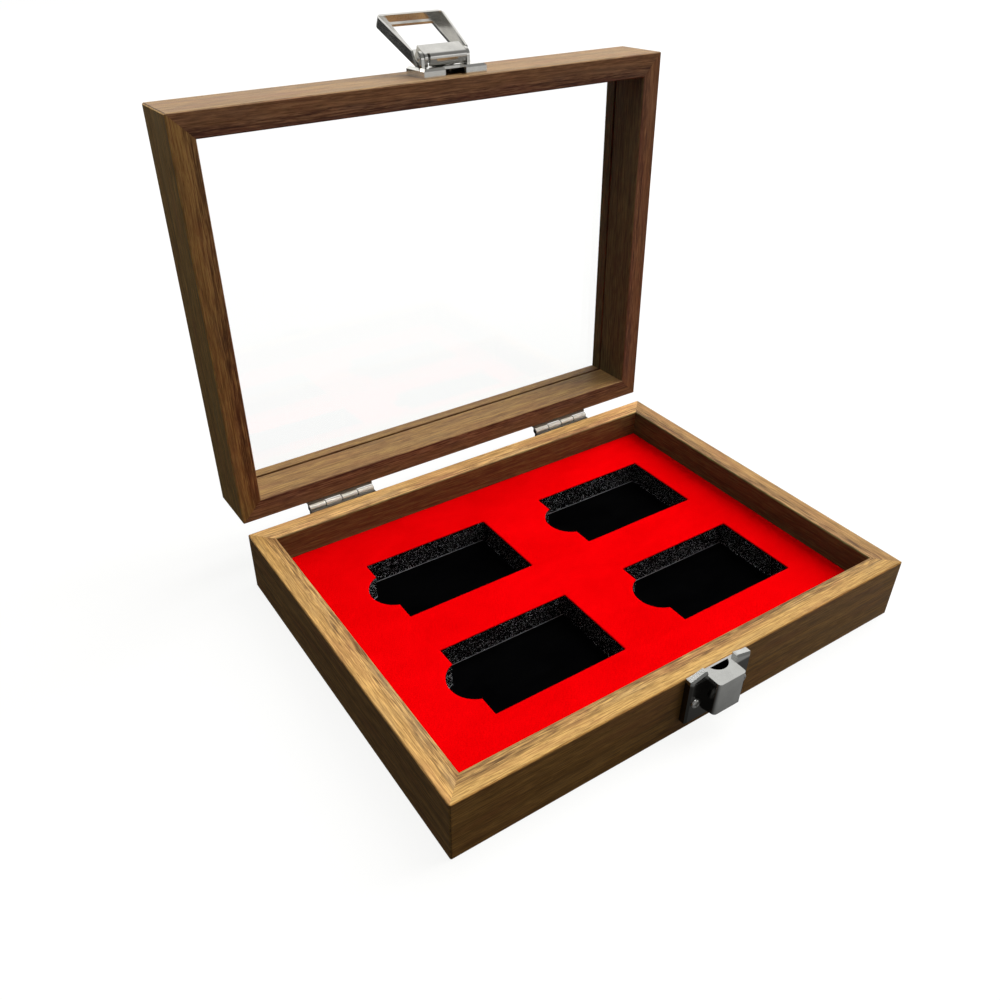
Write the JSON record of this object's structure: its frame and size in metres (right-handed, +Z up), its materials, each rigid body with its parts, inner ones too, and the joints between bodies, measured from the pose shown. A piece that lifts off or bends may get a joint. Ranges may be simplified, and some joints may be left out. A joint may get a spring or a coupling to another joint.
{
  "type": "hinged display box",
  "caption": "Hinged wooden display box with a glazed lid, spring latch and flocked insert with rectangular recesses and thumb notches",
  "frame": {"origin": "centre of the base's underside", "axes": "+X to the right seen from the latch side, +Y towards the hinges, +Z up; rest pose has the lid open on its stop"},
  "size_m": [0.2, 0.2004, 0.1954],
  "materials": {
    "wood_grain": "walnut-look wrap, satin, fine straight grain along each rail",
    "floor_board": "thin dark fibreboard",
    "black_flock": "short deep black flock",
    "black_foam": "closed-cell foam with a fine speckle on its cut faces",
    "red_flock": "short saturated red flock",
    "clear_pane": "clear, polished",
    "satin_nickel": "satin nickel plate",
    "screw_steel": "nickel-plated screw",
    "bright_nickel": "bright nickel plate",
    "spring_wire": "drawn spring wire"
  },
  "bodies": {
    "base": {"base_front_rail": "wood_grain", "base_right_rail": "wood_grain", "base_back_rail": "wood_grain", "base_left_rail": "wood_grain", "base_bottom_panel": "floor_board", "recess_lining": "black_flock", "foam_insert": "black_foam", "velvet_face": "red_flock", "hinge_left_base_leaf": "satin_nickel", "hinge_right_base_leaf": "satin_nickel", "hinge_left_pin": "satin_nickel", "hinge_right_pin": "satin_nickel", "hinge_base_screws": "screw_steel", "keeper_plate": "bright_nickel", "keeper_screws": "screw_steel"},
    "lid": {"lid_front_rail": "wood_grain", "lid_right_rail": "wood_grain", "lid_back_rail": "wood_grain", "lid_left_rail": "wood_grain", "lid_pane": "clear_pane", "hinge_left_lid_leaf": "satin_nickel", "hinge_right_lid_leaf": "satin_nickel", "hinge_lid_screws": "screw_steel", "latch_plate": "bright_nickel", "latch_screws": "screw_steel", "latch_pin": "bright_nickel", "latch_spring": "spring_wire"},
    "flap": {"latch_flap": "bright_nickel"}
  },
  "joints": [
    {"name": "lid_hinge", "type": "hinge", "parent": "base", "child": "lid", "pos_m": [0, 0.0775, 0.026], "axis": [1, 0, 0], "range_deg": [0, 92.2]},
    {"name": "latch_pivot", "type": "hinge", "parent": "lid", "child": "flap", "pos_m": [0.0035, 0.09267, 0.18383], "axis": [1, 0, 0], "range_deg": [0, 154.5]}
  ]
}
